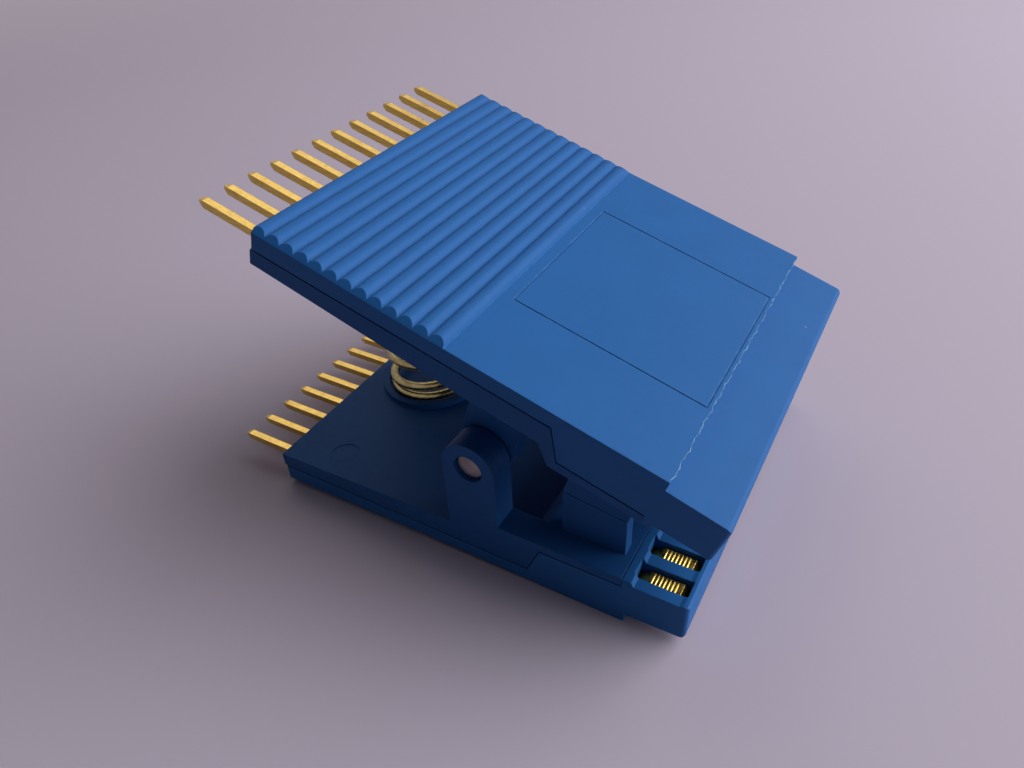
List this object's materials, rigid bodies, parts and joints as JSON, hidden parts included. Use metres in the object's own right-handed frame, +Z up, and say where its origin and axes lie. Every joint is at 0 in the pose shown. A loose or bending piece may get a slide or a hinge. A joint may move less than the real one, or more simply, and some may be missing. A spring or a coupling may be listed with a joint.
{
  "type": "ic test clip",
  "caption": "Spring-closed test clip: ribbed plastic jaws on a hinge pin, with combs of contacts in the nose and square posts at the grip, to probe a dual in-line package.",
  "frame": {"origin": "on the resting surface, under the middle of the clip's box", "axes": "+X from the grip to the nose, +Y across the jaws, +Z up; the lower jaw lies on its outer face"},
  "size_m": [0.0472, 0.0314, 0.0275],
  "materials": {
    "blue_plastic": "satin moulded blue plastic",
    "contact_gold": "gold plated, drawn and stamped",
    "steel_pin": "bright ground steel",
    "spring_wire": "yellow plated spring wire"
  },
  "bodies": {
    "lower_jaw": {"lower_cover": "blue_plastic", "lower_plate": "blue_plastic", "hinge_pin": "steel_pin", "spring": "spring_wire", "contact_01": "contact_gold", "contact_02": "contact_gold", "contact_03": "contact_gold", "contact_04": "contact_gold", "contact_05": "contact_gold", "contact_06": "contact_gold", "contact_07": "contact_gold", "contact_08": "contact_gold", "contact_09": "contact_gold", "contact_10": "contact_gold", "contact_11": "contact_gold", "contact_12": "contact_gold"},
    "upper_jaw": {"upper_cover": "blue_plastic", "upper_plate": "blue_plastic", "contact_13": "contact_gold", "contact_14": "contact_gold", "contact_15": "contact_gold", "contact_16": "contact_gold", "contact_17": "contact_gold", "contact_18": "contact_gold", "contact_19": "contact_gold", "contact_20": "contact_gold", "contact_21": "contact_gold", "contact_22": "contact_gold", "contact_23": "contact_gold", "contact_24": "contact_gold"}
  },
  "joints": [
    {"name": "jaw_hinge", "type": "hinge", "parent": "lower_jaw", "child": "upper_jaw", "pos_m": [0.00388, 0, 0.01041], "axis": [0, -1, 0], "range_deg": [0, 30], "stiffness_Nm_per_rad": 0.12, "springref_deg": -14.32, "deforming": ["spring"]}
  ]
}
